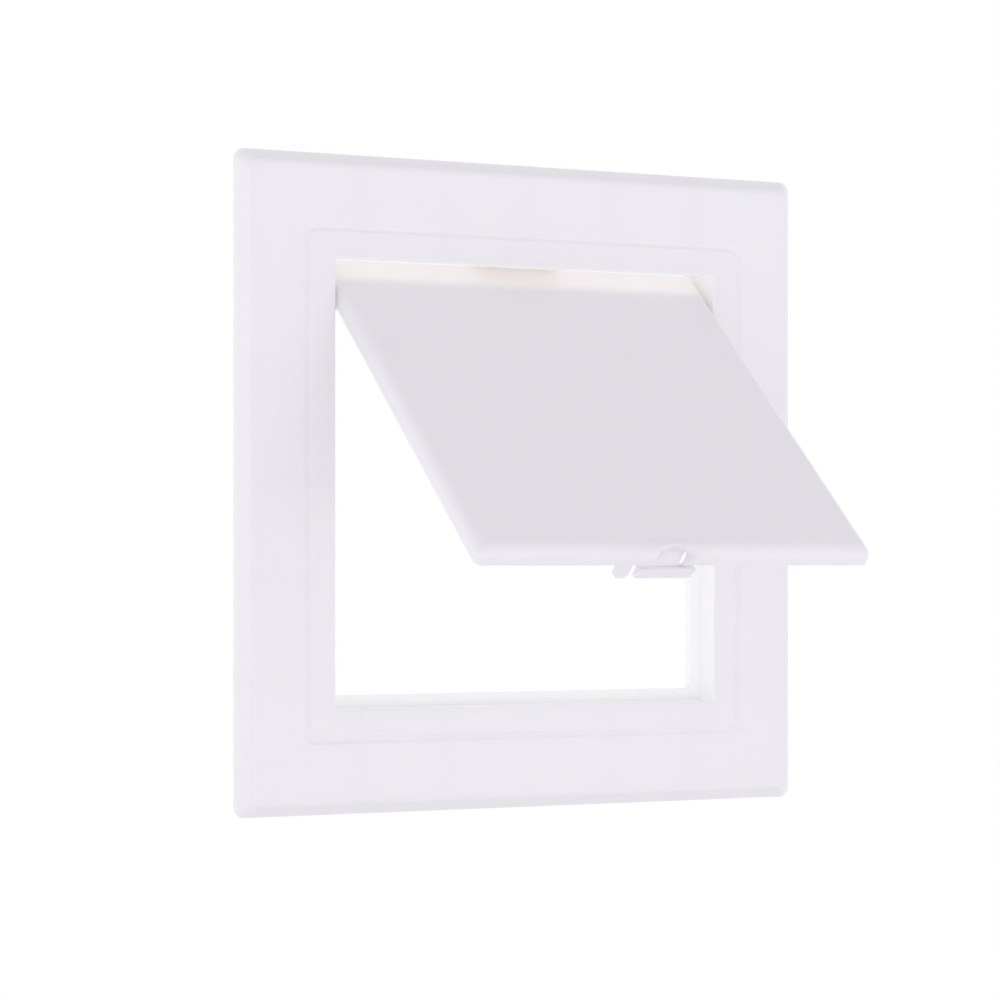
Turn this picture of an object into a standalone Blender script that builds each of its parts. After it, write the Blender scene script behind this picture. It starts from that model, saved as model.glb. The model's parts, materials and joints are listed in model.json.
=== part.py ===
"""Access panel: a square flange frame for a wall or ceiling cut-out, with a flap on two hinge pins and a snap latch.

X is across, Z is up and Y runs into the wall, whose surface is the plane Y = 0. The flap is drawn shut and then
turned open about its pins.
"""

import math

import bmesh
import bpy
from mathutils import Matrix, Vector

# Flange, in metres
FLANGE_SIZE = 0.200
FLANGE_HEIGHT = 0.0049
FLANGE_WALL = 0.0020
EDGE_HEIGHT = 0.0004
CHAMFER_WIDTH = 0.0032
CHAMFER_TOP = 0.0044
CHAMFER_BLEND = 0.0018
RIM_WALL = 0.0022
RIM_FOOT = 0.0005
UNDERSIDE_INSET = 0.0048
OUTER_CORNER = 0.0035
GROOVE_TO_OPENING = 0.0093
GROOVE_WIDTH = 0.0023
GROOVE_DEPTH = 0.0007
GROOVE_CORNER = 0.0025
CORNER_STEPS = 5

# Opening, collar and closing ledge
OPENING_SIZE = 0.136
OPENING_CORNER = 0.0010
LIP_ROUNDING = 0.0006
COLLAR_WALL = 0.0024
COLLAR_DEPTH = 0.0120
LEDGE_WIDTH = 0.0038
LEDGE_THICKNESS = 0.0024
LEDGE_CORNER = 0.0012
LEDGE_ROOT = 0.0012

# Stiffening ribs on the back of the flange
RIB_THICKNESS = 0.0012
RIB_TO_CORNER = 0.0080
RIBS_PER_SIDE = 5
RIB_SHORT_OF_WALL = 0.0003
RIB_ROOT = 0.0007

# The collar's top side, cut away beside a thin tongue, and the shallow tab on the lip in front of it
RELIEF_DEPTH = 0.0014
RELIEF_LIP = 0.0023
RELIEF_SIDE_STEP = 0.0001
RELIEF_BEHIND_WALL = 0.0003
TONGUE_WIDTH = 0.030
TAB_WIDTH = 0.030
TAB_DROP = 0.0007
TAB_TO_FLAP = 0.0003

# Flap
DOOR_GAP = 0.0009
DOOR_RECESS = 0.0015
DOOR_DEPTH = 0.0057
DOOR_SKIN = 0.0020
DOOR_ROUNDING = 0.0038
DOOR_ROUNDING_STEPS = 6
DOOR_CORNER = 0.0020
LEDGE_GAP = 0.0008
DOOR_OPEN_DEGREES = 47.5
DOOR_WIDE_OPEN_DEGREES = 100
DOOR_RIB_HEIGHT = 0.0024
DOOR_RIB_OFFSET = 0.024
FINGER_NOTCH_WIDTH = 0.015
FINGER_NOTCH_RISE = 0.0030
FINGER_NOTCH_LEFT = 0.0010

# Hinge
HINGE_BEHIND_FACE = 0.0089
HINGE_BELOW_TOP = 0.0103
PIN_DIAMETER = 0.0040
PIN_CLEARANCE = 0.0003
PIN_HEAD_DIAMETER = 0.0068
PIN_HEAD_THICKNESS = 0.0012
PIN_EDGE = 0.0003
PIN_SHORT_OF_WALL = 0.0002
EAR_THICKNESS = 0.0034
EAR_INSET = 0.0005
EAR_BOSS_WALL = 0.0015
EAR_TO_LEDGE = 0.0010
ROUND_STEPS = 40

# Snap latch and the guide on its left
LATCH_WIDTH = 0.0190
LATCH_LEFT = 0.0005
LATCH_THICKNESS = 0.0014
LATCH_ROOT_THICKNESS = 0.0024
LATCH_ROOT_LENGTH = 0.0020
LATCH_ROOT_GAP = 0.0004
LATCH_BELOW_WALL = 0.0106
LATCH_TO_LEDGE = 0.0006
LATCH_PLAY = 0.0004
BARB_RISE = 0.0014
BARB_LAND = 0.0008
TIP_CHAMFER = 0.0005
SLOT_WIDTH = 0.0021
SLOT_TO_EDGE = 0.0037
SLOT_LENGTH = 0.0067
GUIDE_GAP = 0.0022
GUIDE_WIDTH = 0.0050
GUIDE_CHAMFER = 0.0013

# Modelling
MERGE = 0.00001
OVERLAP = 0.0006
THROUGH = 0.0020

# Sizes that follow from those above
HALF_FLANGE = FLANGE_SIZE / 2
HALF_OPENING = OPENING_SIZE / 2
HALF_DOOR = HALF_OPENING - DOOR_GAP
DOOR_FACE_Y = DOOR_RECESS - FLANGE_HEIGHT
SKIN_BACK_Y = DOOR_FACE_Y + DOOR_SKIN
DOOR_BACK_Y = DOOR_FACE_Y + DOOR_DEPTH
LEDGE_FRONT_Y = DOOR_BACK_Y + LEDGE_GAP
LEDGE_BACK_Y = LEDGE_FRONT_Y + LEDGE_THICKNESS
LEDGE_HALF = HALF_OPENING - LEDGE_WIDTH
AXIS = Vector((0, DOOR_FACE_Y + HINGE_BEHIND_FACE, HALF_DOOR - HINGE_BELOW_TOP))
BORE_RADIUS = PIN_DIAMETER / 2 + PIN_CLEARANCE
BOSS_RADIUS = BORE_RADIUS + EAR_BOSS_WALL
EAR_OUTER_X = HALF_DOOR - EAR_INSET
EAR_INNER_X = EAR_OUTER_X - EAR_THICKNESS
LATCH_LOW_Z = LATCH_TO_LEDGE - LEDGE_HALF
LATCH_HIGH_Z = LATCH_LOW_Z + LATCH_THICKNESS
LATCH_MID_Z = (LATCH_LOW_Z + LATCH_HIGH_Z) / 2
LATCH_AXIS = Vector((0, SKIN_BACK_Y + LATCH_ROOT_GAP, LATCH_HIGH_Z))


# Helpers
def new_collection(name):
    made = bpy.data.collections.new(name)
    bpy.context.scene.collection.children.link(made)
    return made


def link_mesh(name, bm, collection):
    """A mesh object made from bm, its faces turned outwards."""
    bmesh.ops.recalc_face_normals(bm, faces=bm.faces)
    mesh = bpy.data.meshes.new(name)
    bm.to_mesh(mesh)
    bm.free()
    made = bpy.data.objects.new(name, mesh)
    collection.objects.link(made)
    return made


def drawing_plane(across, along, at):
    """The matrix that lays a drawing's X on across and its Y on along, with its origin at a point."""
    across = Vector(across)
    along = Vector(along)
    turned = Matrix((across, along, across.cross(along))).transposed()
    return Matrix.Translation(at) @ turned.to_4x4()


def add_plate(bm, outline, thickness, matrix):
    """Adds a flat plate to bm: an outline filled and extruded half its thickness to each side of the drawing."""
    curve = bpy.data.curves.new("outline", "CURVE")
    curve.dimensions = "2D"
    curve.fill_mode = "BOTH"
    curve.extrude = thickness / 2
    spline = curve.splines.new("POLY")
    spline.points.add(len(outline) - 1)
    for point, (x, y) in zip(spline.points, outline):
        point.co = (x, y, 0, 1)
    spline.use_cyclic_u = True
    guide = bpy.data.objects.new("outline", curve)
    bpy.context.scene.collection.objects.link(guide)
    graph = bpy.context.evaluated_depsgraph_get()
    mesh = bpy.data.meshes.new_from_object(guide.evaluated_get(graph))
    bpy.data.objects.remove(guide)
    bpy.data.curves.remove(curve)
    mesh.transform(matrix)
    bm.from_mesh(mesh)
    bpy.data.meshes.remove(mesh)
    bmesh.ops.remove_doubles(bm, verts=bm.verts, dist=MERGE)


def add_box(bm, low, high):
    """Adds a box between two opposite corners."""
    low = Vector(low)
    high = Vector(high)
    matrix = Matrix.Translation((low + high) / 2) @ Matrix.Diagonal((*(high - low), 1))
    bmesh.ops.create_cube(bm, size=1, matrix=matrix)


def add_boolean(target, operation, tool):
    modifier = target.modifiers.new(tool.name, "BOOLEAN")
    modifier.operation = operation
    modifier.solver = "EXACT"
    modifier.object = tool


def arc(centre, radius, start, end, steps):
    """Points of an arc from one angle to another, in degrees."""
    points = []
    for step in range(steps + 1):
        angle = math.radians(start + (end - start) * step / steps)
        points.append((centre[0] + radius * math.cos(angle), centre[1] + radius * math.sin(angle)))
    return points


def arch_outline(width, rise, below):
    """A shallow arch that stands on the line Y = 0 of its drawing, with a foot that runs on below it."""
    radius = (width * width / 4 + rise * rise) / (2 * rise)
    reach = math.degrees(math.asin(width / 2 / radius))
    arch = arc((0, rise - radius), radius, 90 - reach, 90 + reach, 14)
    return [(width / 2, -below)] + arch + [(-width / 2, -below)]


def square_loop(half, corner, y):
    """Points of a square with rounded corners, as it lies in the plane of one Y."""
    points = []
    centre = half - corner
    for quarter, (right, up) in enumerate(((1, 1), (-1, 1), (-1, -1), (1, -1))):
        turn = 90 * quarter
        for x, z in arc((right * centre, up * centre), corner, turn, turn + 90, CORNER_STEPS):
            points.append((x, y, z))
    return points


def loft_squares(name, section, closed, collection):
    """Lofts rounded squares of (half width, Y, corner radius) into a ring, or into a body with two flat ends."""
    bm = bmesh.new()
    rings = []
    for half, y, corner in section:
        rings.append([bm.verts.new(point) for point in square_loop(half, corner, y)])
    following = rings[1:] + rings[:1] if closed else rings[1:]
    for ring, after in zip(rings, following):
        for side in range(len(ring)):
            bm.faces.new((ring[side - 1], ring[side], after[side], after[side - 1]))
    if not closed:
        bm.faces.new(rings[0])
        bm.faces.new(rings[-1])
    return link_mesh(name, bm, collection)


def material(name, colour, roughness):
    made = bpy.data.materials.new(name)
    made.use_nodes = True
    shader = made.node_tree.nodes["Principled BSDF"]
    shader.inputs["Base Color"].default_value = (*colour, 1)
    shader.inputs["Roughness"].default_value = roughness
    return made


def finish(target, surface):
    target.data.materials.append(surface)
    target.data.shade_smooth()
    target.data.set_sharp_from_angle(angle=math.radians(32))


def place_on_hinge(target, pivot, origin):
    """Moves a mesh that was drawn shut so that its own origin is on its joint, and hangs it on the hinge."""
    target.data.transform(Matrix.Translation(-origin))
    target.parent = pivot
    target.location = origin - AXIS


# Frame
def outer_edge():
    """The flange's upright edge, its chamfer and the soft turn into its front."""
    chamfer = HALF_FLANGE - CHAMFER_WIDTH
    blend_mid = (CHAMFER_TOP + FLANGE_HEIGHT) / 2 + (FLANGE_HEIGHT - CHAMFER_TOP) / 6
    return [
        (HALF_FLANGE, 0, OUTER_CORNER),
        (HALF_FLANGE, -EDGE_HEIGHT, OUTER_CORNER),
        (chamfer, -CHAMFER_TOP, OUTER_CORNER),
        (chamfer - CHAMFER_BLEND / 2, -blend_mid, OUTER_CORNER),
        (chamfer - CHAMFER_BLEND, -FLANGE_HEIGHT, OUTER_CORNER),
    ]


def groove():
    """The shadow groove, a shallow hollow with a parabola for its section."""
    points = []
    for step in range(-3, 4):
        share = step / 3
        half = HALF_OPENING + GROOVE_TO_OPENING - GROOVE_WIDTH / 2 * share
        depth = GROOVE_DEPTH * (1 - share * share)
        points.append((half, depth - FLANGE_HEIGHT, GROOVE_CORNER))
    return points


def lip():
    """The rounded edge where the flange turns into the opening."""
    centre = (HALF_OPENING + LIP_ROUNDING, LIP_ROUNDING - FLANGE_HEIGHT)
    return [(half, y, OPENING_CORNER) for half, y in arc(centre, LIP_ROUNDING, 270, 180, 4)]


def collar_and_underside():
    """The collar that goes into the cut-out, and the hollow back of the flange as far as its rim."""
    collar = HALF_OPENING + COLLAR_WALL
    collar_corner = OPENING_CORNER + COLLAR_WALL
    rim = HALF_FLANGE - RIM_WALL
    rim_corner = OUTER_CORNER - RIM_WALL
    back = FLANGE_WALL - FLANGE_HEIGHT
    return [
        (HALF_OPENING, COLLAR_DEPTH, OPENING_CORNER),
        (collar, COLLAR_DEPTH, collar_corner),
        (collar, back, collar_corner),
        (HALF_FLANGE - UNDERSIDE_INSET, back, rim_corner),
        (rim, -RIM_FOOT, rim_corner),
        (rim, 0, rim_corner),
    ]


def ledge_tool(tools):
    """The closing ledge on three sides of the collar, its ends clear of the flap's ears."""
    outer = HALF_OPENING + LEDGE_ROOT
    top = AXIS.z - BOSS_RADIUS - EAR_TO_LEDGE
    middle = LEDGE_HALF - LEDGE_CORNER
    outline = [(-outer, top), (-outer, -outer), (outer, -outer), (outer, top), (LEDGE_HALF, top)]
    outline += arc((middle, -middle), LEDGE_CORNER, 0, -90, 4)
    outline += arc((-middle, -middle), LEDGE_CORNER, -90, -180, 4)
    outline.append((-LEDGE_HALF, top))
    bm = bmesh.new()
    middle_y = (LEDGE_FRONT_Y + LEDGE_BACK_Y) / 2
    add_plate(bm, outline, LEDGE_THICKNESS, drawing_plane((1, 0, 0), (0, 0, 1), (0, middle_y, 0)))
    return link_mesh("ledge", bm, tools)


def rib_tool(tools):
    """Ribs across the hollow back of the flange, each a flat outline between the collar and the rim."""
    start = HALF_OPENING + COLLAR_WALL - RIB_ROOT
    end = HALF_FLANGE - RIM_WALL + RIB_ROOT
    top = FLANGE_WALL - FLANGE_HEIGHT - RIB_ROOT
    outline = [
        (start, -RIB_SHORT_OF_WALL),
        (end, -RIB_SHORT_OF_WALL),
        (end, -RIM_FOOT - RIB_ROOT),
        (HALF_FLANGE - UNDERSIDE_INSET, top),
        (start, top),
    ]
    bm = bmesh.new()
    for side in range(4):
        turn = Matrix.Rotation(math.radians(90 * side), 4, "Y")
        for rib in range(RIBS_PER_SIDE):
            share = 2 * rib / (RIBS_PER_SIDE - 1) - 1
            along = share * (HALF_OPENING - RIB_TO_CORNER)
            plane = drawing_plane((1, 0, 0), (0, 1, 0), (0, 0, along))
            add_plate(bm, outline, RIB_THICKNESS, turn @ plane)
    return link_mesh("flange_ribs", bm, tools)


def relief_tool(tools):
    """Room behind the top lip for the flap's top edge, right through the collar except at a thin tongue."""
    side = HALF_OPENING - RELIEF_SIDE_STEP
    foot = AXIS.z + BOSS_RADIUS
    step = HALF_OPENING + RELIEF_DEPTH
    through = HALF_OPENING + COLLAR_WALL + RELIEF_BEHIND_WALL
    middle = TONGUE_WIDTH / 2
    outline = [(-side, foot), (side, foot), (side, through), (middle, through)]
    outline += [(middle, step), (-middle, step), (-middle, through), (-side, through)]
    front = RELIEF_LIP - FLANGE_HEIGHT
    back = COLLAR_DEPTH + THROUGH
    bm = bmesh.new()
    plane = drawing_plane((1, 0, 0), (0, 0, 1), (0, (front + back) / 2, 0))
    add_plate(bm, outline, back - front, plane)
    return link_mesh("top_relief", bm, tools)


def lip_tab_tool(tools):
    """A shallow arch that hangs from the middle of the top lip, where the wide open flap comes to rest."""
    bm = bmesh.new()
    outline = arch_outline(TAB_WIDTH, TAB_DROP, LIP_ROUNDING)
    front = LIP_ROUNDING - FLANGE_HEIGHT
    back = RELIEF_LIP - FLANGE_HEIGHT + OVERLAP
    plane = drawing_plane((1, 0, 0), (0, 0, -1), (0, (front + back) / 2, HALF_OPENING))
    add_plate(bm, outline, back - front, plane)
    return link_mesh("lip_tab", bm, tools)


def tab_slope_tool(tools):
    """The place of the flap's face when it is wide open, which slopes the tab's underside."""
    bm = bmesh.new()
    half = TAB_WIDTH / 2 + THROUGH
    low = (-half, DOOR_FACE_Y - TAB_TO_FLAP, AXIS.z - 2 * HINGE_BEHIND_FACE)
    high = (half, AXIS.y, AXIS.z)
    add_box(bm, low, high)
    turn = Matrix.Rotation(math.radians(-DOOR_WIDE_OPEN_DEGREES), 3, "X")
    bmesh.ops.rotate(bm, cent=AXIS, matrix=turn, verts=bm.verts)
    return link_mesh("tab_slope", bm, tools)


def bore_tool(tools):
    """One rod through both ears and both side walls of the collar, as wide as the pins' holes."""
    bm = bmesh.new()
    matrix = Matrix.Translation(AXIS) @ Matrix.Rotation(math.radians(90), 4, "Y")
    bmesh.ops.create_cone(
        bm,
        cap_ends=True,
        segments=ROUND_STEPS,
        radius1=BORE_RADIUS,
        radius2=BORE_RADIUS,
        depth=2 * (HALF_OPENING + COLLAR_WALL + THROUGH),
        matrix=matrix,
    )
    return link_mesh("pin_bores", bm, tools)


def make_frame(panel, tools, bores):
    section = outer_edge() + groove() + lip() + collar_and_underside()
    frame = loft_squares("frame", section, True, panel)
    add_boolean(frame, "UNION", ledge_tool(tools))
    add_boolean(frame, "UNION", rib_tool(tools))
    add_boolean(frame, "UNION", lip_tab_tool(tools))
    add_boolean(frame, "DIFFERENCE", tab_slope_tool(tools))
    add_boolean(frame, "DIFFERENCE", relief_tool(tools))
    add_boolean(frame, "DIFFERENCE", bores)
    finish(frame, material("frame_plastic", (0.86, 0.86, 0.87), 0.42))


# Flap
def door_section():
    """From the skin's back over the rim to the face, the inner and outer rounding about one centre."""
    centre = (HALF_DOOR - DOOR_ROUNDING, DOOR_FACE_Y + DOOR_ROUNDING)
    inner_corner = DOOR_CORNER / 2
    inner = arc(centre, DOOR_ROUNDING - DOOR_SKIN, 270, 360, DOOR_ROUNDING_STEPS // 2)
    outer = arc(centre, DOOR_ROUNDING, 360, 270, DOOR_ROUNDING_STEPS)
    section = [(half, y, inner_corner) for half, y in inner]
    section.append((HALF_DOOR - DOOR_SKIN, DOOR_BACK_Y, inner_corner))
    section.append((HALF_DOOR, DOOR_BACK_Y, DOOR_CORNER))
    return section + [(half, y, DOOR_CORNER) for half, y in outer]


def ear_tool(tools):
    """The two ears behind the flap's top corners, each a tab with a round boss about the hinge."""
    root = SKIN_BACK_Y - OVERLAP - AXIS.y
    outline = [(root, -BOSS_RADIUS)] + arc((0, 0), BOSS_RADIUS, -90, 90, ROUND_STEPS // 2)
    outline.append((root, BOSS_RADIUS))
    bm = bmesh.new()
    for side in (-1, 1):
        middle = side * (EAR_OUTER_X + EAR_INNER_X) / 2
        plane = drawing_plane((0, 1, 0), (0, 0, 1), AXIS + Vector((middle, 0, 0)))
        add_plate(bm, outline, EAR_THICKNESS, plane)
    return link_mesh("ears", bm, tools)


def tongue_outline(left, right, root, chamfer):
    """A tongue seen from below, from its root to a tip with chamfered corners."""
    tip = LATCH_BELOW_WALL
    return [
        (right, root),
        (right, tip - chamfer),
        (right - chamfer, tip),
        (left + chamfer, tip),
        (left, tip - chamfer),
        (left, root),
    ]


def guide_tool(tools):
    """The rigid guide on the left of the latch."""
    right = -LATCH_LEFT - LATCH_WIDTH / 2 - GUIDE_GAP
    outline = tongue_outline(right - GUIDE_WIDTH, right, SKIN_BACK_Y - OVERLAP, GUIDE_CHAMFER)
    bm = bmesh.new()
    add_plate(bm, outline, LATCH_THICKNESS, Matrix.Translation((0, 0, LATCH_MID_Z)))
    return link_mesh("latch_guide", bm, tools)


def door_rib_tool(tools, name, upright):
    """A pair of low ribs across the hollow back of the flap."""
    reach = HALF_DOOR - DOOR_SKIN + OVERLAP
    bm = bmesh.new()
    for side in (-1, 1):
        low = side * DOOR_RIB_OFFSET - RIB_THICKNESS / 2
        near = (low, SKIN_BACK_Y - OVERLAP, -reach)
        far = (low + RIB_THICKNESS, SKIN_BACK_Y + DOOR_RIB_HEIGHT, reach)
        if upright:
            add_box(bm, near, far)
        else:
            add_box(bm, (near[2], near[1], near[0]), (far[2], far[1], far[0]))
    return link_mesh(name, bm, tools)


def finger_notch_tool(tools):
    """The arched notch in the free edge through which a finger reaches the latch."""
    bm = bmesh.new()
    outline = arch_outline(FINGER_NOTCH_WIDTH, FINGER_NOTCH_RISE, THROUGH)
    middle_y = (DOOR_FACE_Y + DOOR_BACK_Y) / 2
    plane = drawing_plane((1, 0, 0), (0, 0, 1), (-FINGER_NOTCH_LEFT, middle_y, -HALF_DOOR))
    add_plate(bm, outline, DOOR_DEPTH + 2 * THROUGH, plane)
    return link_mesh("finger_notch", bm, tools)


def hang(tool, pivot):
    """Turns a cutter or an added shape of the flap with the flap."""
    place_on_hinge(tool, pivot, AXIS)
    return tool


def make_door(panel, tools, bores, pivot):
    door = loft_squares("door_panel", door_section(), False, panel)
    place_on_hinge(door, pivot, AXIS)
    add_boolean(door, "UNION", hang(door_rib_tool(tools, "upright_ribs", True), pivot))
    add_boolean(door, "UNION", hang(door_rib_tool(tools, "level_ribs", False), pivot))
    add_boolean(door, "UNION", hang(ear_tool(tools), pivot))
    add_boolean(door, "UNION", hang(guide_tool(tools), pivot))
    add_boolean(door, "DIFFERENCE", hang(finger_notch_tool(tools), pivot))
    add_boolean(door, "DIFFERENCE", bores)
    finish(door, material("door_plastic", (0.85, 0.85, 0.86), 0.38))


# Latch
def latch_side_outline():
    """The tongue from the side: a thick root, a thin blade, and a barb with a square catch and a ramp."""
    root = LATCH_AXIS.y
    catch = LEDGE_BACK_Y + LATCH_PLAY
    return [
        (root, LATCH_LOW_Z),
        (catch, LATCH_LOW_Z),
        (catch, LATCH_LOW_Z - BARB_RISE),
        (catch + BARB_LAND, LATCH_LOW_Z - BARB_RISE),
        (LATCH_BELOW_WALL, LATCH_LOW_Z),
        (LATCH_BELOW_WALL, LATCH_HIGH_Z),
        (root + LATCH_ROOT_LENGTH, LATCH_HIGH_Z),
        (root, LATCH_LOW_Z + LATCH_ROOT_THICKNESS),
    ]


def latch_front_tool(tools):
    """The tongue from below: straight sides, and a slot from its root that leaves a narrow leg on the right."""
    right = LATCH_WIDTH / 2 - LATCH_LEFT
    root = LATCH_AXIS.y - THROUGH
    outline = tongue_outline(right - LATCH_WIDTH, right, root, TIP_CHAMFER)
    slot_right = right - SLOT_TO_EDGE
    slot_left = slot_right - SLOT_WIDTH
    slot_end = LATCH_AXIS.y + SLOT_LENGTH
    outline += [(slot_left, root), (slot_left, slot_end), (slot_right, slot_end), (slot_right, root)]
    bm = bmesh.new()
    height = 2 * (LATCH_ROOT_THICKNESS + BARB_RISE + THROUGH)
    add_plate(bm, outline, height, Matrix.Translation((0, 0, LATCH_MID_Z)))
    return link_mesh("latch_front", bm, tools)


def make_latch(panel, tools, pivot):
    bm = bmesh.new()
    plane = drawing_plane((0, 1, 0), (0, 0, 1), (0, 0, 0))
    add_plate(bm, latch_side_outline(), LATCH_WIDTH + 2 * THROUGH, plane)
    latch = link_mesh("latch_tongue", bm, panel)
    place_on_hinge(latch, pivot, LATCH_AXIS)
    add_boolean(latch, "INTERSECT", hang(latch_front_tool(tools), pivot))
    finish(latch, material("latch_plastic", (0.86, 0.86, 0.87), 0.36))


# Pins
def make_pin(name, side, surface, panel, pivot):
    """A turned pin, its head against the inside of an ear and its end in the collar's wall."""
    radius = PIN_DIAMETER / 2
    head = PIN_HEAD_DIAMETER / 2
    head_x = EAR_INNER_X - PIN_CLEARANCE - PIN_HEAD_THICKNESS
    length = HALF_OPENING + COLLAR_WALL - PIN_SHORT_OF_WALL - head_x
    profile = [
        (0, length),
        (radius - PIN_EDGE, length),
        (radius, length - PIN_EDGE),
        (radius, PIN_HEAD_THICKNESS),
        (head, PIN_HEAD_THICKNESS),
        (head, PIN_EDGE),
        (head - PIN_EDGE, 0),
        (0, 0),
    ]
    bm = bmesh.new()
    points = [bm.verts.new((x, 0, z)) for x, z in profile]
    for pair in zip(points, points[1:]):
        bm.edges.new(pair)
    mesh = bpy.data.meshes.new(name)
    bm.to_mesh(mesh)
    bm.free()
    pin = bpy.data.objects.new(name, mesh)
    panel.objects.link(pin)
    screw = pin.modifiers.new("turned", "SCREW")
    screw.steps = ROUND_STEPS
    screw.render_steps = ROUND_STEPS
    screw.use_merge_vertices = True
    screw.merge_threshold = MERGE
    screw.use_normal_calculate = True
    pin.parent = pivot
    pin.location = (side * head_x, 0, 0)
    pin.rotation_euler = (0, side * math.radians(90), 0)
    pin.data.materials.append(surface)


def make_panel():
    for old in list(bpy.data.objects):
        bpy.data.objects.remove(old)
    panel = new_collection("access_panel")
    tools = new_collection("cutters_and_added_shapes")
    pivot = bpy.data.objects.new("door_hinge_pivot", None)
    pivot.location = AXIS
    pivot.rotation_euler = (-math.radians(DOOR_OPEN_DEGREES), 0, 0)
    panel.objects.link(pivot)
    bores = bore_tool(tools)
    make_frame(panel, tools, bores)
    make_door(panel, tools, bores, pivot)
    make_latch(panel, tools, pivot)
    pin_surface = material("pin_acetal", (0.80, 0.80, 0.78), 0.30)
    make_pin("hinge_pin_left", -1, pin_surface, panel, pivot)
    make_pin("hinge_pin_right", 1, pin_surface, panel, pivot)
    for tool in tools.objects:
        tool.hide_render = True
        tool.display_type = "WIRE"
    tools.hide_render = True


make_panel()
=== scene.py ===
# %% [markdown]
# # A white access panel, swung open
#
# The panel is a wide square flange with a flap that hangs on two pins behind its top edge. It is moulded in
# white plastic, so nearly all that the eye reads in it is form: soft edges, a thin groove and a rounded
# rim. That makes it a good exercise in modelling for light. We start from the engineering model, which
# gives the places and the joints.

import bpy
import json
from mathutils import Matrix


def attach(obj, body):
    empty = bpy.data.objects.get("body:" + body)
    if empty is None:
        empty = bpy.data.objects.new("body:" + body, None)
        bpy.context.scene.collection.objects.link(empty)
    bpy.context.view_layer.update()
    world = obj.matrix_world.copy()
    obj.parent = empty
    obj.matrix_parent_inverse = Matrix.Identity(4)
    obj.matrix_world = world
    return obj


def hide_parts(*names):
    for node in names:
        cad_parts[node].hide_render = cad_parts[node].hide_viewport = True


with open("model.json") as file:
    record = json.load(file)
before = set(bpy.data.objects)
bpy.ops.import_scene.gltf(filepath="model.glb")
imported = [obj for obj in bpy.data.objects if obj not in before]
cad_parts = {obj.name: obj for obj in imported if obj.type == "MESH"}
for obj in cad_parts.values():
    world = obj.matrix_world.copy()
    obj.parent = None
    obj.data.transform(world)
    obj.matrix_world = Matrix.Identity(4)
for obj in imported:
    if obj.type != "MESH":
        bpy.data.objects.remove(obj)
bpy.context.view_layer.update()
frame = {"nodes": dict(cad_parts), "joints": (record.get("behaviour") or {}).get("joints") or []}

import json
import math

import bmesh
import bpy
from mathutils import Matrix, Vector

print("nodes:", sorted(frame["nodes"]))
for joint in frame["joints"]:
    print("joint", joint["name"], joint["range_deg"], "degrees about", joint["axis"], "at", joint["pos_m"])

# %% [markdown]
# ## Drawing in sections
#
# Most of the panel is one section carried round a square. We draw the section as a list of (half width,
# depth, corner radius), turn each entry into a loop of points, and skin the loops together. Drawing the
# section first keeps every radius under control, which is hard to do by bevelling a box afterwards. Depth
# is Y: the wall's surface is Y = 0 and the flange stands out of it towards -Y.

# %% Helpers for outlines and lofts
CORNER_STEPS = 10


def arc(centre, radius, start, end, steps):
    """Points along an arc, its ends in degrees."""
    angles = [math.radians(start + (end - start) * step / steps) for step in range(steps + 1)]
    return [(centre[0] + radius * math.cos(a), centre[1] + radius * math.sin(a)) for a in angles]


def square_loop(half, corner, depth):
    """One rounded square of the loft."""
    points = []
    centre = half - corner
    for quarter, (right, up) in enumerate(((1, 1), (-1, 1), (-1, -1), (1, -1))):
        for x, z in arc((right * centre, up * centre), corner, 90 * quarter, 90 * quarter + 90, CORNER_STEPS):
            points.append((x, depth, z))
    return points


def skin_loops(section, closed):
    """A mesh over all the loops: a ring if closed, or else a body with two flat ends."""
    bm = bmesh.new()
    rings = [[bm.verts.new(p) for p in square_loop(half, corner, depth)] for half, depth, corner in section]
    following = rings[1:] + rings[:1] if closed else rings[1:]
    for ring, after in zip(rings, following):
        for i in range(len(ring)):
            bm.faces.new((ring[i - 1], ring[i], after[i], after[i - 1]))
    if not closed:
        bm.faces.new(rings[0])
        bm.faces.new(rings[-1])
    return bm


def object_from(bm, name):
    bmesh.ops.recalc_face_normals(bm, faces=bm.faces)
    mesh = bpy.data.meshes.new(name)
    bm.to_mesh(mesh)
    bm.free()
    made = bpy.data.objects.new(name, mesh)
    bpy.context.scene.collection.objects.link(made)
    return made


print("one corner of the loft has", len(arc((0, 0), 1, 0, 90, CORNER_STEPS)), "points")

# %% [markdown]
# ## Adding and cutting
#
# Ribs, ledges, ears, holes and notches are flat outlines given a thickness. Each is made as a small solid
# of its own and then joined to, or taken from, the main body with a Boolean. The shapes overlap the body a
# little, because a Boolean between faces that only touch tends to leave holes. We apply the result at once,
# so that no cutters are left in the scene.

# %% Helpers for plates and Booleans
ACROSS, DEEP, UP = Vector((1, 0, 0)), Vector((0, 1, 0)), Vector((0, 0, 1))
SHARP_ABOVE = 38


def add_plate(bm, outline, across, along, middle, thickness):
    """An outline laid on two directions about a middle point, thickened to both sides."""
    out = across.cross(along).normalized() * thickness / 2
    low = [bm.verts.new(middle + across * x + along * y - out) for x, y in outline]
    high = [bm.verts.new(middle + across * x + along * y + out) for x, y in outline]
    bm.faces.new(low[::-1])
    bm.faces.new(high)
    for i in range(len(outline)):
        bm.faces.new((low[i - 1], low[i], high[i], high[i - 1]))


def add_rod(bm, centre, radius, length, segments=48):
    """A round rod along X."""
    matrix = Matrix.Translation(centre) @ Matrix.Rotation(math.radians(90), 4, "Y")
    ends = {"radius1": radius, "radius2": radius, "depth": length}
    bmesh.ops.create_cone(bm, cap_ends=True, segments=segments, matrix=matrix, **ends)


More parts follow.
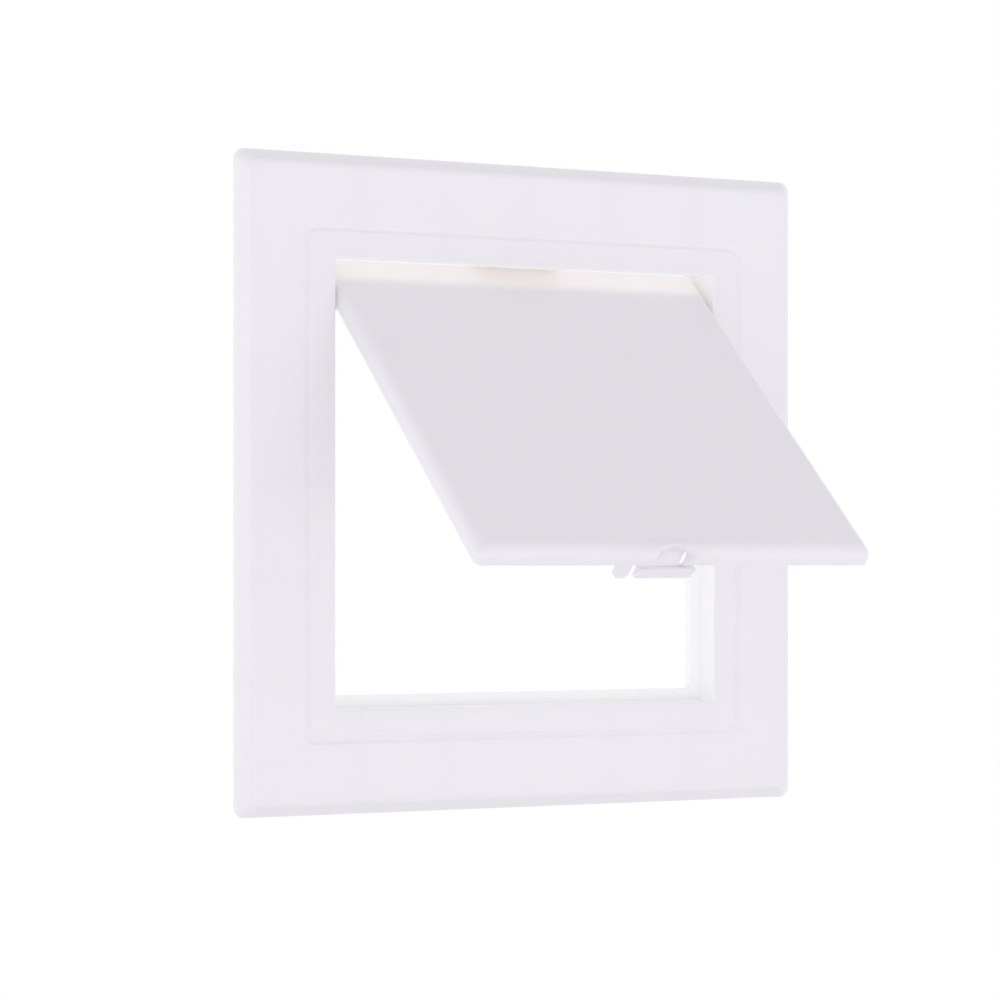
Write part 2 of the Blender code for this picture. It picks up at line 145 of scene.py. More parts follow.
def combine(base, steps):
    """Runs (operation, bmesh) steps on the base in order and keeps the resulting mesh."""
    tools = []
    for number, (operation, bm) in enumerate(steps):
        tool = object_from(bm, f"{base.name}_step_{number}")
        modifier = base.modifiers.new(tool.name, "BOOLEAN")
        modifier.operation = operation
        modifier.solver = "EXACT"
        modifier.object = tool
        tools.append(tool)
    graph = bpy.context.evaluated_depsgraph_get()
    mesh = bpy.data.meshes.new_from_object(base.evaluated_get(graph))
    mesh.name = base.name
    base.modifiers.clear()
    base.data = mesh
    for tool in tools:
        bpy.data.objects.remove(tool)
    print(f"{base.name}: {len(mesh.vertices)} points after {len(steps)} steps")
    return base


def soften(obj, width, segments=3):
    """A small rounding on every edge that a mould would leave sharp, with flat faces kept flat."""
    obj.data.shade_smooth()
    bevel = obj.modifiers.new("moulded edges", "BEVEL")
    bevel.width = width
    bevel.segments = segments
    bevel.limit_method = "ANGLE"
    bevel.angle_limit = math.radians(SHARP_ABOVE)
    bevel.use_clamp_overlap = True
    bevel.miter_outer = "MITER_ARC"
    flat = obj.modifiers.new("flat faces", "WEIGHTED_NORMAL")
    flat.weight = 100
    flat.keep_sharp = True
    return obj


print("edges sharper than", SHARP_ABOVE, "degrees will be rounded")

# %% [markdown]
# ## The flange and its collar
#
# The section runs up the outer edge, over a chamfer on to the front, through the shadow groove and round
# the lip into the opening, then down the collar and back under the flange, which is hollow. The groove's
# section is a shallow parabola: that gives the soft dark line which the photograph shows.

# %% Sizes of the frame, in metres
HALF_FLANGE, FLANGE_FRONT, FLANGE_BACK = 0.100, -0.0049, -0.0029
EDGE_TOP, CHAMFER_TOP, CHAMFER_WIDTH, BLEND = -0.0004, -0.0044, 0.0032, 0.0018
OUTER_CORNER, RIM_WALL = 0.0035, 0.0022
GROOVE_AT, GROOVE_HALF, GROOVE_DEPTH, GROOVE_CORNER = 0.0773, 0.00115, 0.0007, 0.0025
HALF_OPENING, OPENING_CORNER, LIP_ROUNDING = 0.068, 0.0010, 0.0006
COLLAR_WALL, COLLAR_END = 0.0024, 0.0120
LEDGE_HALF, LEDGE_FRONT, LEDGE_BACK, LEDGE_TOP = 0.0642, 0.0031, 0.0055, 0.0520
LEDGE_ROOT, LEDGE_CORNER = 0.0012, 0.0012
RIB_WIDTH, RIB_PLACES = 0.0012, (-0.060, -0.030, 0, 0.030, 0.060)
RIB_START, RIB_END, RIB_TOP, RIB_SLOPE, RIB_FOOT = 0.0697, 0.0985, -0.0003, -0.0012, -0.0036
RIM_INSIDE, RIM_FOOT = 0.0952, -0.0005
TAB_WIDTH, TAB_DROP, TAB_MIDDLE, TAB_DEPTH = 0.030, 0.0007, -0.00315, 0.0023
TAB_TO_FLAP, SLOPE_HALF_WIDTH, SLOPE_REACH = 0.0003, 0.017, 0.0178
RELIEF_LIP, RELIEF_LOW, RELIEF_STEP = 0.0023, 0.0606, 0.0001
TONGUE_HALF_WIDTH, TONGUE_UNDER, PAST = 0.0150, 0.0014, 0.002
PIN_HOLE, PIN_HOLE_LENGTH = 0.0023, 0.146
FACE = FLANGE_FRONT + 0.0015
HINGE = Vector((0, 0.0055, 0.0568))
REST_ANGLE, WIDE_ANGLE = 47.5, 100


def flange_section():
    section = [(HALF_FLANGE, 0, OUTER_CORNER), (HALF_FLANGE, EDGE_TOP, OUTER_CORNER)]
    chamfer = HALF_FLANGE - CHAMFER_WIDTH
    for step in range(5):
        share = step / 4
        depth = CHAMFER_TOP + (FLANGE_FRONT - CHAMFER_TOP) * (1 - (1 - share) ** 2)
        section.append((chamfer - BLEND * share, depth, OUTER_CORNER))
    for step in range(-4, 5):
        share = step / 4
        depth = FLANGE_FRONT + GROOVE_DEPTH * (1 - share * share)
        section.append((GROOVE_AT - GROOVE_HALF * share, depth, GROOVE_CORNER))
    lip = arc((HALF_OPENING + LIP_ROUNDING, FLANGE_FRONT + LIP_ROUNDING), LIP_ROUNDING, 270, 180, 6)
    return section + [(half, depth, OPENING_CORNER) for half, depth in lip]


def collar_section():
    collar = HALF_OPENING + COLLAR_WALL
    collar_corner = OPENING_CORNER + COLLAR_WALL
    rim_corner = OUTER_CORNER - RIM_WALL
    return [
        (HALF_OPENING, COLLAR_END, OPENING_CORNER),
        (collar, COLLAR_END, collar_corner),
        (collar, FLANGE_BACK, collar_corner),
        (RIM_INSIDE, FLANGE_BACK, rim_corner),
        (HALF_FLANGE - RIM_WALL, RIM_FOOT, rim_corner),
        (HALF_FLANGE - RIM_WALL, 0, rim_corner),
    ]


section = flange_section() + collar_section()
print("the frame's section has", len(section), "points")

# %% [markdown]
# The closing ledge runs round three sides only: the flap's top edge swings inwards past the fourth. Behind
# the flange stand thin ribs that keep it flat. At the top the collar's wall is cut away beside a thin
# tongue, which makes room for the flap's edge and lets light fall on it from above. A shallow tab hangs
# from the middle of the lip, and its underside is cut to the slope that the flap's face has when it is wide
# open.


# %% Shapes that are joined to the frame or cut from it
def ledge():
    bm = bmesh.new()
    outer, inner, corner = HALF_OPENING + LEDGE_ROOT, LEDGE_HALF, LEDGE_CORNER
    outline = [(-outer, LEDGE_TOP), (-outer, -outer), (outer, -outer), (outer, LEDGE_TOP), (inner, LEDGE_TOP)]
    outline += arc((inner - corner, corner - inner), corner, 0, -90, 6)
    outline += arc((corner - inner, corner - inner), corner, -90, -180, 6)
    outline += [(-inner, LEDGE_TOP)]
    middle = DEEP * (LEDGE_FRONT + LEDGE_BACK) / 2
    add_plate(bm, outline, ACROSS, UP, middle, LEDGE_BACK - LEDGE_FRONT)
    return bm


def flange_ribs():
    bm = bmesh.new()
    outline = [(RIB_START, RIB_TOP), (RIB_END, RIB_TOP), (RIB_END, RIB_SLOPE)]
    outline += [(RIM_INSIDE, RIB_FOOT), (RIB_START, RIB_FOOT)]
    for side in range(4):
        turn = Matrix.Rotation(math.radians(90 * side), 3, "Y")
        for along in RIB_PLACES:
            add_plate(bm, outline, turn @ ACROSS, DEEP, turn @ (UP * along), RIB_WIDTH)
    return bm


def tab_slope():
    """A box over the top of the shut flap, turned with it as far as the flap goes."""
    bm = bmesh.new()
    side, low, high = SLOPE_HALF_WIDTH, HINGE.z - SLOPE_REACH, HINGE.z
    front = FACE - TAB_TO_FLAP
    outline = [(-side, low), (side, low), (side, high), (-side, high)]
    add_plate(bm, outline, ACROSS, UP, DEEP * (front + HINGE.y) / 2, HINGE.y - front)
    turn = Matrix.Rotation(math.radians(-WIDE_ANGLE), 3, "X")
    bmesh.ops.rotate(bm, cent=HINGE, matrix=turn, verts=bm.verts)
    return bm


def top_relief():
    bm = bmesh.new()
    side, tongue, low = HALF_OPENING - RELIEF_STEP, TONGUE_HALF_WIDTH, RELIEF_LOW
    high, through = HALF_OPENING + TONGUE_UNDER, HALF_OPENING + COLLAR_WALL + 0.0003
    start, end = FLANGE_FRONT + RELIEF_LIP, COLLAR_END + PAST
    outline = [(-side, low), (side, low), (side, through), (tongue, through)]
    outline += [(tongue, high), (-tongue, high), (-tongue, through), (-side, through)]
    add_plate(bm, outline, ACROSS, UP, DEEP * (start + end) / 2, end - start)
    return bm


def arch(width, rise, foot, crown, middle, thickness):
    """A shallow arch that stands on a level line, or hangs from it if its crown points down."""
    bm = bmesh.new()
    radius = (width * width / 4 + rise * rise) / (2 * rise)
    reach = math.degrees(math.asin(width / 2 / radius))
    curve = arc((0, rise - radius), radius, 90 - reach, 90 + reach, 32)
    outline = [(width / 2, -foot)] + curve + [(-width / 2, -foot)]
    add_plate(bm, outline, ACROSS, crown, Vector(middle), thickness)
    return bm


def lip_tab():
    return arch(TAB_WIDTH, TAB_DROP, LIP_ROUNDING, -UP, (0, TAB_MIDDLE, HALF_OPENING), TAB_DEPTH)


def pin_holes():
    bm = bmesh.new()
    add_rod(bm, HINGE, PIN_HOLE, PIN_HOLE_LENGTH)
    return bm


print("opening", round(2000 * HALF_OPENING), "mm, hinge", round(1000 * HINGE.z, 1), "mm above its middle")


# %% Put the frame together
flange = object_from(skin_loops(section, True), "flange_moulding")
combine(
    flange,
    [
        ("UNION", ledge()),
        ("UNION", flange_ribs()),
        ("UNION", lip_tab()),
        ("DIFFERENCE", tab_slope()),
        ("DIFFERENCE", top_relief()),
        ("DIFFERENCE", pin_holes()),
    ],
)
soften(flange, 0.00018)
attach(flange, "frame")
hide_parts("frame")

# %% [markdown]
# ## The flap
#
# The flap is a shallow tray, open at the back. Its skin and its rim are rounded about the same centre, so
# the wall keeps one thickness, as it must in a moulding. We draw it shut, where every clearance is easy to
# read, and turn it open about the pins at the end.

# %% Sizes of the flap
HALF_FLAP, RIM_BACK = 0.0671, FACE + 0.0057
FLAP_WALL, ROUNDING, FLAP_CORNER = 0.0020, 0.0038, 0.0020
SKIN_BACK = FACE + FLAP_WALL
EAR_INNER, EAR_OUTER, BOSS = 0.0632, 0.0666, 0.0038
BLADE_LEFT, BLADE_RIGHT, BLADE_LOW, BLADE_HIGH, TIP = -0.0100, 0.0090, -0.0636, -0.0622, 0.0106
NOTCH_WIDTH, NOTCH_RISE, NOTCH_LEFT, NOTCH_DEPTH = 0.015, 0.0030, 0.0010, 0.0097
GUIDE_WIDTH, GUIDE_GAP, GUIDE_CHAMFER = 0.0050, 0.0022, 0.0013
SUNK, FLAP_RIB_PLACES = 0.0006, (-0.024, 0.024)
turn = Matrix.Rotation(math.radians(-REST_ANGLE), 4, "X")
OPEN = Matrix.Translation(HINGE) @ turn @ Matrix.Translation(-HINGE)
print("the flap is", round(2000 * HALF_FLAP, 1), "mm wide and hangs", REST_ANGLE, "degrees open")


def flap_section():
    centre = (HALF_FLAP - ROUNDING, FACE + ROUNDING)
    inner = arc(centre, ROUNDING - FLAP_WALL, 270, 360, 6)
    outer = arc(centre, ROUNDING, 360, 270, 12)
    section = [(half, depth, FLAP_CORNER / 2) for half, depth in inner]
    section += [(HALF_FLAP - FLAP_WALL, RIM_BACK, FLAP_CORNER / 2), (HALF_FLAP, RIM_BACK, FLAP_CORNER)]
    return section + [(half, depth, FLAP_CORNER) for half, depth in outer]


def flap_ribs(upright):
    bm = bmesh.new()
    reach = HALF_FLAP - FLAP_WALL + SUNK
    middle = SKIN_BACK + 0.0009
    outline = [(-reach, -0.0015), (reach, -0.0015), (reach, 0.0015), (-reach, 0.0015)]
    for place in FLAP_RIB_PLACES:
        if upright:
            add_plate(bm, outline, UP, DEEP, Vector((place, middle, 0)), RIB_WIDTH)
        else:
            add_plate(bm, outline, ACROSS, DEEP, Vector((0, middle, place)), RIB_WIDTH)
    return bm


def ears():
    bm = bmesh.new()
    root = SKIN_BACK - SUNK - HINGE.y
    outline = [(root, -BOSS)] + arc((0, 0), BOSS, -90, 90, 32) + [(root, BOSS)]
    for side in (-1, 1):
        middle = HINGE + ACROSS * side * (EAR_INNER + EAR_OUTER) / 2
        add_plate(bm, outline, DEEP, UP, middle, EAR_OUTER - EAR_INNER)
    return bm


def tongue_outline(left, right, root, cut):
    """A straight tongue seen from below, the corners of its tip taken off."""
    right_side = [(right, root), (right, TIP - cut), (right - cut, TIP)]
    return right_side + [(left + cut, TIP), (left, TIP - cut), (left, root)]


def guide():
    bm = bmesh.new()
    right = BLADE_LEFT - GUIDE_GAP
    outline = tongue_outline(right - GUIDE_WIDTH, right, SKIN_BACK - SUNK, GUIDE_CHAMFER)
    add_plate(bm, outline, ACROSS, DEEP, UP * (BLADE_LOW + BLADE_HIGH) / 2, BLADE_HIGH - BLADE_LOW)
    return bm


def finger_notch():
    middle = (-NOTCH_LEFT, (FACE + RIM_BACK) / 2, -HALF_FLAP)
    return arch(NOTCH_WIDTH, NOTCH_RISE, PAST, UP, middle, NOTCH_DEPTH)


# %% Put the flap together and turn it open
flap = object_from(skin_loops(flap_section(), False), "flap_moulding")
combine(
    flap,
    [
        ("UNION", flap_ribs(True)),
        ("UNION", flap_ribs(False)),
        ("UNION", ears()),
        ("UNION", guide()),
        ("DIFFERENCE", finger_notch()),
        ("DIFFERENCE", pin_holes()),
    ],
)
flap.data.transform(OPEN)
soften(flap, 0.00022)
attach(flap, "door")
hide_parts("door_panel")

# %% [markdown]
# ## The snap latch
#
# Two drawings make the latch: its side view has the thick root, the thin blade and the barb, and its view
# from below has straight sides and a slot that leaves a narrow leg. Each is extruded right through the
# other and only what both hold is kept, which is how such a hook is usually drawn in a workshop too.

# %% Make the latch
LATCH_ROOT, CATCH = SKIN_BACK + 0.0004, LEDGE_BACK + 0.0004
ROOT_LENGTH, ROOT_THICKNESS, BARB_DROP, BARB_LAND = 0.0020, 0.0024, 0.0014, 0.0008
SLOT_LENGTH, SLOT_TO_EDGE, SLOT_WIDTH, TIP_CHAMFER = 0.0067, 0.0037, 0.0021, 0.0005
BLANK_WIDTH, BLANK_HEIGHT = 0.024, 0.012


def latch_side():
    bm = bmesh.new()
    outline = [
        (LATCH_ROOT, BLADE_LOW),
        (CATCH, BLADE_LOW),
        (CATCH, BLADE_LOW - BARB_DROP),
        (CATCH + BARB_LAND, BLADE_LOW - BARB_DROP),
        (TIP, BLADE_LOW),
        (TIP, BLADE_HIGH),
        (LATCH_ROOT + ROOT_LENGTH, BLADE_HIGH),
        (LATCH_ROOT, BLADE_LOW + ROOT_THICKNESS),
    ]
    add_plate(bm, outline, DEEP, UP, Vector((0, 0, 0)), BLANK_WIDTH)
    return bm


def latch_front():
    bm = bmesh.new()
    root, slot_end = LATCH_ROOT - PAST, LATCH_ROOT + SLOT_LENGTH
    slot_right = BLADE_RIGHT - SLOT_TO_EDGE
    slot_left = slot_right - SLOT_WIDTH
    outline = tongue_outline(BLADE_LEFT, BLADE_RIGHT, root, TIP_CHAMFER)
    outline += [(slot_left, root), (slot_left, slot_end), (slot_right, slot_end), (slot_right, root)]
    add_plate(bm, outline, ACROSS, DEEP, UP * BLADE_LOW, BLANK_HEIGHT)
    return bm


latch = object_from(latch_side(), "snap_latch")
combine(latch, [("INTERSECT", latch_front())])
latch.data.transform(OPEN)
soften(latch, 0.00020)
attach(latch, "latch")
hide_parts("latch_tongue")

# %% [markdown]
# ## The hinge pins
#
# A pin is a turned part: half of its outline is spun round its axis. The head sits inside the ear and the
# far end turns in the collar's wall. It is hardly seen, but the flap hangs on it, so it gets its small end
# chamfers.


# %% Make the pins
HEAD_THICKNESS, HEAD_CLEARANCE = 0.0012, 0.0003


def pin_profile():
    head, shank, edge, thickness, length = 0.0034, 0.0020, 0.0003, HEAD_THICKNESS, 0.0085
    top = arc((shank - edge, length - edge), edge, 90, 0, 4)
    under = arc((head - edge, thickness - edge), edge, 90, 0, 4)
    foot = arc((head - edge, edge), edge, 0, -90, 4)
    return [(0, length)] + top + [(shank, thickness)] + under + foot + [(0, 0)]


def spun(profile, segments=48):
    bm = bmesh.new()
    points = [bm.verts.new((radius, 0, z)) for radius, z in profile]
    edges = [bm.edges.new(pair) for pair in zip(points, points[1:])]
    bmesh.ops.spin(bm, geom=points + edges, cent=(0, 0, 0), axis=(0, 0, 1), angle=2 * math.pi, steps=segments)
    bmesh.ops.remove_doubles(bm, verts=bm.verts, dist=0.00001)
    return bm


pins = []
for side, name in ((-1, "pin_left"), (1, "pin_right")):
    pin = object_from(spun(pin_profile()), name)
    start = HINGE + ACROSS * side * (EAR_INNER - HEAD_CLEARANCE - HEAD_THICKNESS)
    pin.data.transform(Matrix.Translation(start) @ Matrix.Rotation(math.radians(90 * side), 4, "Y"))
    pin.data.shade_smooth()
    pin.data.set_sharp_from_angle(angle=math.radians(40))
    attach(pin, "door")
    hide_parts("hinge_" + name)
    pins.append(pin)
print("pins:", [pin.name for pin in pins])

# %% [markdown]
# ## Plastic, in three shader groups
#
# White plastic isn't one flat white. A mould gives it a fine grain, and the melt leaves broad, very faint
# clouds of warmer and cooler white. Each of these is a group of its own, so that all the pieces share it
# and only the amounts differ.


# %% Group: clouds of tone
def new_group(name, inputs, outputs):
    group = bpy.data.node_groups.new(name, "ShaderNodeTree")
    for label, kind, value in inputs:
        socket = group.interface.new_socket(label, in_out="INPUT", socket_type=kind)
        socket.default_value = value
    for label, kind in outputs:
        group.interface.new_socket(label, in_out="OUTPUT", socket_type=kind)
    return group, group.nodes.new("NodeGroupInput"), group.nodes.new("NodeGroupOutput")


def build_clouds():
    group, given, result = new_group(
        "clouds_of_tone",
        [
            ("Base", "NodeSocketColor", (0.9, 0.9, 0.9, 1)),
            ("Other", "NodeSocketColor", (0.88, 0.88, 0.89, 1)),
            ("Scale", "NodeSocketFloat", 14.0),
            ("Amount", "NodeSocketFloat", 0.5),
        ],
        [("Color", "NodeSocketColor")],
    )
    nodes, links = group.nodes, group.links
    place = nodes.new("ShaderNodeTexCoord")
    noise = nodes.new("ShaderNodeTexNoise")
    noise.inputs["Detail"].default_value = 3.0
    noise.inputs["Roughness"].default_value = 0.55
    share = nodes.new("ShaderNodeMath")
    share.operation = "MULTIPLY"
    mix = nodes.new("ShaderNodeMix")
    mix.data_type = "RGBA"
    links.new(place.outputs["Object"], noise.inputs["Vector"])
    links.new(given.outputs["Scale"], noise.inputs["Scale"])
    links.new(noise.outputs["Fac"], share.inputs[0])
    links.new(given.outputs["Amount"], share.inputs[1])
    links.new(share.outputs[0], mix.inputs["Factor"])
    links.new(given.outputs["Base"], mix.inputs["A"])
    links.new(given.outputs["Other"], mix.inputs["B"])
    links.new(mix.outputs["Result"], result.inputs["Color"])
    return group


# %% Group: the mould's grain
def build_grain():
    group, given, result = new_group(
        "mould_grain",
        [
            ("Grain Size", "NodeSocketFloat", 2600.0),
            ("Roughness", "NodeSocketFloat", 0.4),
            ("Spread", "NodeSocketFloat", 0.08),
        ],
        [("Height", "NodeSocketFloat"), ("Roughness", "NodeSocketFloat")],
    )
    nodes, links = group.nodes, group.links
    place = nodes.new("ShaderNodeTexCoord")
    fine = nodes.new("ShaderNodeTexNoise")
    fine.inputs["Detail"].default_value = 2.0
    broad = nodes.new("ShaderNodeTexNoise")
    broad.inputs["Scale"].default_value = 45.0
    spread = nodes.new("ShaderNodeMath")
    spread.operation = "MULTIPLY_ADD"
    centred = nodes.new("ShaderNodeMath")
    centred.operation = "SUBTRACT"
    centred.inputs[1].default_value = 0.5
    links.new(place.outputs["Object"], fine.inputs["Vector"])
    links.new(place.outputs["Object"], broad.inputs["Vector"])
    links.new(given.outputs["Grain Size"], fine.inputs["Scale"])
    links.new(broad.outputs["Fac"], centred.inputs[0])
    links.new(centred.outputs[0], spread.inputs[0])
    links.new(given.outputs["Spread"], spread.inputs[1])
    links.new(given.outputs["Roughness"], spread.inputs[2])
    links.new(fine.outputs["Fac"], result.inputs["Height"])
    links.new(spread.outputs[0], result.inputs["Roughness"])
    return group


# %% [markdown]
# With bright white behind the panel, the inner walls of the opening and the part of the flap right under the
# lip look lighter than the faces in front, lighter than the lamps and the sky make them. The third group
# paints that light in as a glow: it is full inside a box and fades out over a soft edge, and what it sends
# out goes to Emission Color. It reads the position in the room, so the painted light stays under the lip
# while the flap swings through it.


# %% Group: painted glow inside a box
def product_of(nodes, links, factors):
    product = factors[0]
    for factor in factors[1:]:
        step = nodes.new("ShaderNodeMath")
        step.operation = "MULTIPLY"
        links.new(product, step.inputs[0])
        links.new(factor, step.inputs[1])
        product = step.outputs[0]
    return product


def build_painted_glow_group():
    group, given, result = new_group(
        "painted_glow_box",
        [
            ("Centre", "NodeSocketVector", (0, 0, 0)),
            ("Half", "NodeSocketVector", (0.1, 0.1, 0.1)),
            ("Soft", "NodeSocketFloat", 0.001),
            ("Tint", "NodeSocketColor", (1, 1, 1, 1)),
        ],
        [("Color", "NodeSocketColor")],
    )
    nodes, links = group.nodes, group.links
    place = nodes.new("ShaderNodeNewGeometry")

    def vector_step(operation, first, second=None):
        made = nodes.new("ShaderNodeVectorMath")
        made.operation = operation
        links.new(first, made.inputs[0])
        if second:
            links.new(second, made.inputs[1])
        return made.outputs["Vector"]

    offset = vector_step("SUBTRACT", place.outputs["Position"], given.outputs["Centre"])
    away = vector_step("ABSOLUTE", offset)
    room = vector_step("SUBTRACT", given.outputs["Half"], away)
    inside = vector_step("DIVIDE", room, given.outputs["Soft"])
    fade = nodes.new("ShaderNodeMapRange")
    fade.data_type = "FLOAT_VECTOR"
    fade.interpolation_type = "SMOOTHSTEP"
    lowest = [socket for socket in fade.inputs if socket.name == "From Min" and socket.type == "VECTOR"]
    lowest[0].default_value = (-1, -1, -1)
    split = nodes.new("ShaderNodeSeparateXYZ")
    links.new(inside, fade.inputs["Vector"])
    links.new(fade.outputs["Vector"], split.inputs["Vector"])
    mask = product_of(nodes, links, [split.outputs[axis] for axis in "XYZ"])
    mix = nodes.new("ShaderNodeMix")
    mix.data_type = "RGBA"
    mix.inputs["A"].default_value = (0, 0, 0, 1)
    links.new(mask, mix.inputs["Factor"])
    links.new(given.outputs["Tint"], mix.inputs["B"])
    links.new(mix.outputs["Result"], result.inputs["Color"])
    return group


clouds, grain, painted_glow_group = build_clouds(), build_grain(), build_painted_glow_group()
print("groups:", [group.name for group in bpy.data.node_groups])

# %% [markdown]
# ## One recipe, four finishes
#
# All the pieces are white, yet they differ a little: the flap is a shade greyer and smoother than the
# flange, the latch is the smoothest of the three, and the pins are natural acetal, creamier than the rest.
# Keeping one function for all of them makes those small differences easy to compare. Subsurface scattering
# softens the edges, as light does that wanders a few millimetres through plastic. The flange and the flap
# also get painted light, a faint glow each, in a box given by its middle, its half size, its soft edge and
# its tint.


# %% Materials
def light_of(nodes, links, glows):
    """The boxes of painted glow of one material, added up."""
    places = []
    for centre, half, soft, tint in glows:
        place = nodes.new("ShaderNodeGroup")
        place.node_tree = painted_glow_group
        place.inputs["Centre"].default_value = centre
        place.inputs["Half"].default_value = half
        place.inputs["Soft"].default_value = soft
        place.inputs["Tint"].default_value = (*tint, 1)
        places.append(place.outputs["Color"])
    glow = places[0]
    for other in places[1:]:
        both = nodes.new("ShaderNodeMix")
        both.data_type = "RGBA"
        both.blend_type = "ADD"
        both.inputs["Factor"].default_value = 1.0
        links.new(glow, both.inputs["A"])
        links.new(other, both.inputs["B"])
        glow = both.outputs["Result"]
    return glow


def plastic(name, base, other, roughness, grain_height, glows=()):
    made = bpy.data.materials.new(name)
    made.use_nodes = True
    nodes, links = made.node_tree.nodes, made.node_tree.links
    shader = nodes["Principled BSDF"]
    tone = nodes.new("ShaderNodeGroup")
    tone.node_tree = clouds
    tone.inputs["Base"].default_value = (*base, 1)
    tone.inputs["Other"].default_value = (*other, 1)
    skin = nodes.new("ShaderNodeGroup")
    skin.node_tree = grain
    skin.inputs["Roughness"].default_value = roughness
    bump = nodes.new("ShaderNodeBump")
    bump.inputs["Strength"].default_value = 0.25
    bump.inputs["Distance"].default_value = grain_height
    shader.inputs["IOR"].default_value = 1.50
    shader.inputs["Subsurface Weight"].default_value = 0.6
    shader.inputs["Subsurface Radius"].default_value = (1.0, 0.95, 0.9)
    shader.inputs["Subsurface Scale"].default_value = 0.003
    if glows:
        shader.inputs["Emission Strength"].default_value = 1.0
        links.new(light_of(nodes, links, glows), shader.inputs["Emission Color"])
    links.new(tone.outputs["Color"], shader.inputs["Base Color"])
    links.new(skin.outputs["Roughness"], shader.inputs["Roughness"])
    links.new(skin.outputs["Height"], bump.inputs["Height"])
    links.new(bump.outputs["Normal"], shader.inputs["Normal"])
    return made


# Painted light: the first box lightens the opening's inner walls and ledge, the second lightens the shade
# under the tongue at the top, and the third lightens the flap's face under the lip with a warm tint.
inner_walls_painted_glow = (0, 0.0038, 0), (0.0683, 0.0086, 0.0683), 0.0006, (0.085, 0.097, 0.083)
tongue = (0, 0.0048, 0.0700), (0.0150, 0.0072, 0.0010), 0.0003, (0.042, 0.038, 0.036)
under_lip_painted_glow = (0, 0.0081, 0.0724), (0.0800, 0.0099, 0.0124), 0.0022, (0.128, 0.098, 0.066)

finishes = {
    flange: plastic(
        "flange_white",
        (0.905, 0.895, 0.905),
        (0.885, 0.880, 0.895),
        0.42,
        0.00003,
        [inner_walls_painted_glow, tongue],
    ),
    flap: plastic("flap_white", (0.895, 0.885, 0.895), (0.880, 0.870, 0.885), 0.38, 0.00003, [under_lip_painted_glow]),
    latch: plastic("latch_white", (0.905, 0.895, 0.905), (0.885, 0.880, 0.895), 0.34, 0.00002),
}
acetal = plastic("pin_cream", (0.83, 0.82, 0.78), (0.80, 0.79, 0.75), 0.30, 0.00001)
for pin in pins:
    finishes[pin] = acetal
for piece, surface in finishes.items():
    piece.data.materials.clear()
    piece.data.materials.append(surface)
    print(piece.name, "wears", surface.name)

# %% [markdown]
# ## A white studio
#
# The picture is high-key: a white panel in front of white. Only the direction a face looks in tells it from
# the next, so the world's brightness changes softly with direction. Four slopes are added up. The first
# makes the room brighter low down than overhead, so the flap, which looks up, is a little darker than the
# upright flange. The other three are small and add light from behind, from the left and from the right.
# Rays from the camera, and those in reflections or through clear things, find plain white. Two lamps, one
# in front and one far to the left, finish it.

# %% Stage and light
scene = bpy.context.scene
scene.view_settings.view_transform = "Standard"
SKY = [
    ("Z", -0.15, 0.60, 0.85, 0.54),
    ("Y", 0.0, 0.60, 0.0, 0.175),
    ("X", -0.70, 0.0, 0.126, 0.0),
    ("X", 0.0, 0.70, 0.0, 0.18),
]
TINT = (1.01, 1.0, 1.045)
LAMPS = [
    ("key", (0.10, -0.95, -0.25), 0.35, 0.58),
    ("side", (-1.5, -0.5, -0.1), 1.0, 1.14),
]


def stage_material(name, level):
    made = bpy.data.materials.new(name)
    made.use_nodes = True
    shader = made.node_tree.nodes["Principled BSDF"]
    shader.inputs["Base Color"].default_value = (level, level, level, 1)
    shader.inputs["Roughness"].default_value = 0.9
    return made


floor_bm = bmesh.new()
under_panel = Matrix.Translation((0, -0.05, -0.40))
bmesh.ops.create_circle(floor_bm, cap_ends=True, segments=96, radius=0.45, matrix=under_panel)
floor = object_from(floor_bm, "studio_floor")
floor.data.materials.append(stage_material("floor_white", 0.88))


def sky_level(nodes, links):
    """The four slopes of the sky, added up."""
    direction = nodes.new("ShaderNodeTexCoord")
    split = nodes.new("ShaderNodeSeparateXYZ")
    slopes = []
    links.new(direction.outputs["Generated"], split.inputs["Vector"])
    for axis, start, end, low, high in SKY:
        slope = nodes.new("ShaderNodeMapRange")
        slope.interpolation_type = "SMOOTHSTEP"
        for name, value in (("From Min", start), ("From Max", end), ("To Min", low), ("To Max", high)):
            slope.inputs[name].default_value = value
        links.new(split.outputs[axis], slope.inputs["Value"])
        slopes.append(slope.outputs["Result"])
    total = slopes[0]
    for level in slopes[1:]:
        add = nodes.new("ShaderNodeMath")
        add.operation = "ADD"
        links.new(total, add.inputs[0])
        links.new(level, add.inputs[1])
        total = add.outputs[0]
    return total


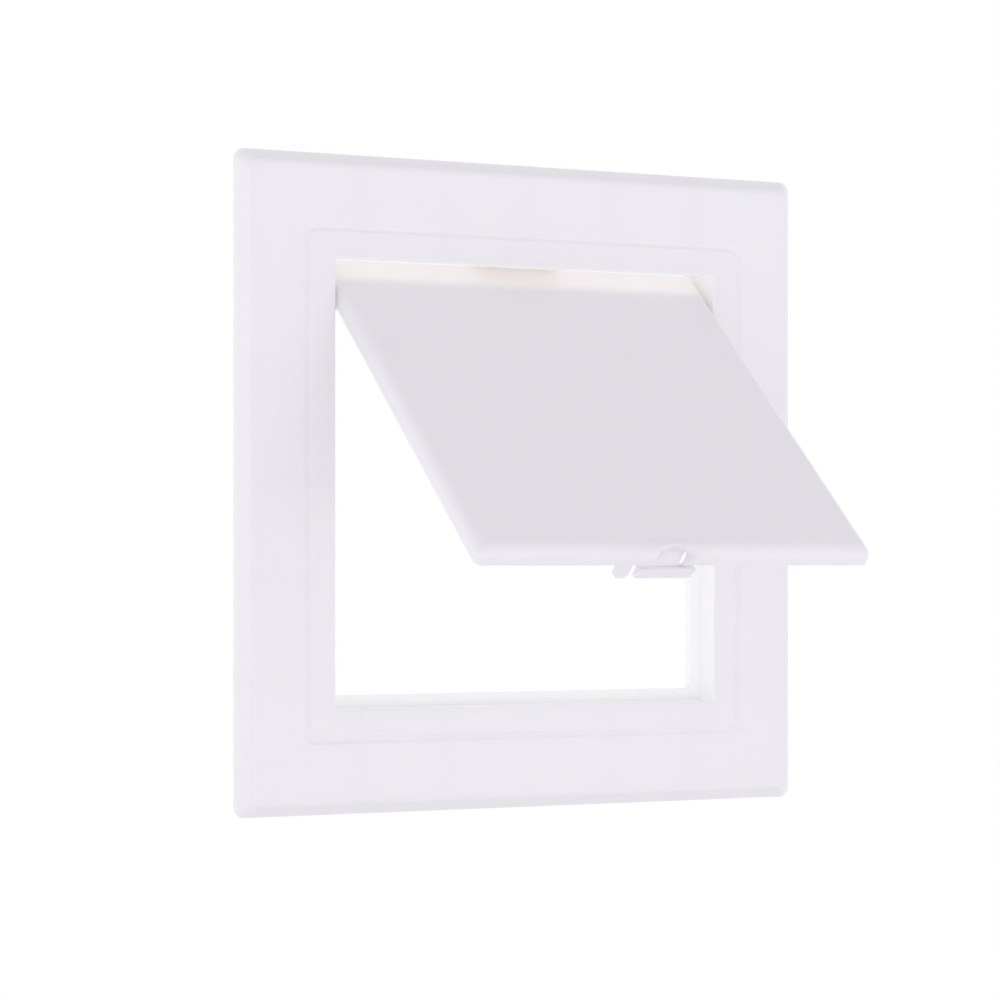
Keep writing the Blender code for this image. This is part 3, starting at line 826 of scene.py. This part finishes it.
def build_world():
    world = bpy.data.worlds.new("white_room")
    scene.world = world
    world.use_nodes = True
    nodes, links = world.node_tree.nodes, world.node_tree.links
    background = nodes["Background"]
    path = nodes.new("ShaderNodeLightPath")
    mirrored = nodes.new("ShaderNodeMath")
    mirrored.operation = "MAXIMUM"
    seen = nodes.new("ShaderNodeMath")
    seen.operation = "MAXIMUM"
    mix = nodes.new("ShaderNodeMix")
    mix.data_type = "FLOAT"
    mix.inputs["B"].default_value = 1.0
    links.new(path.outputs["Is Glossy Ray"], mirrored.inputs[0])
    links.new(path.outputs["Is Transmission Ray"], mirrored.inputs[1])
    links.new(path.outputs["Is Camera Ray"], seen.inputs[0])
    links.new(mirrored.outputs[0], seen.inputs[1])
    links.new(seen.outputs[0], mix.inputs["Factor"])
    links.new(sky_level(nodes, links), mix.inputs["A"])
    links.new(mix.outputs["Result"], background.inputs["Strength"])
    background.inputs["Color"].default_value = (*TINT, 1)


def add_lamp(name, position, size, power):
    """A round lamp that points at the middle of the panel."""
    light = bpy.data.lights.new(name, "AREA")
    light.shape = "DISK"
    light.size = size
    light.energy = power
    light.color = TINT
    lamp = bpy.data.objects.new(name, light)
    lamp.location = position
    lamp.rotation_euler = (-Vector(position)).to_track_quat("-Z", "Y").to_euler()
    scene.collection.objects.link(lamp)


build_world()
for lamp in LAMPS:
    add_lamp(*lamp)
print("sky slopes:", len(SKY), "lamps:", len(LAMPS))

# %% [markdown]
# ## The camera
#
# The uprights of the panel are parallel in the picture, so the camera was level. It stands to the left and
# a little below the middle, and the frame is shifted upwards rather than the camera tilted, which keeps
# those edges upright. It is shifted sideways too: in the picture the flange's top and bottom edges run
# together a little more slowly than a camera aimed at the middle of the panel would show them.

# %% Camera
camera = bpy.data.objects.new("camera", bpy.data.cameras.new("camera"))
camera.location = (-0.5142, -0.8759, -0.0231)
camera.rotation_euler = (math.radians(90), 0, math.radians(-27.37))
camera.data.lens = 116.96
camera.data.sensor_width = 36
camera.data.shift_x = 0.15
camera.data.shift_y = 0.0605
scene.collection.objects.link(camera)
scene.camera = camera
print("camera at", tuple(round(value, 3) for value in camera.location))
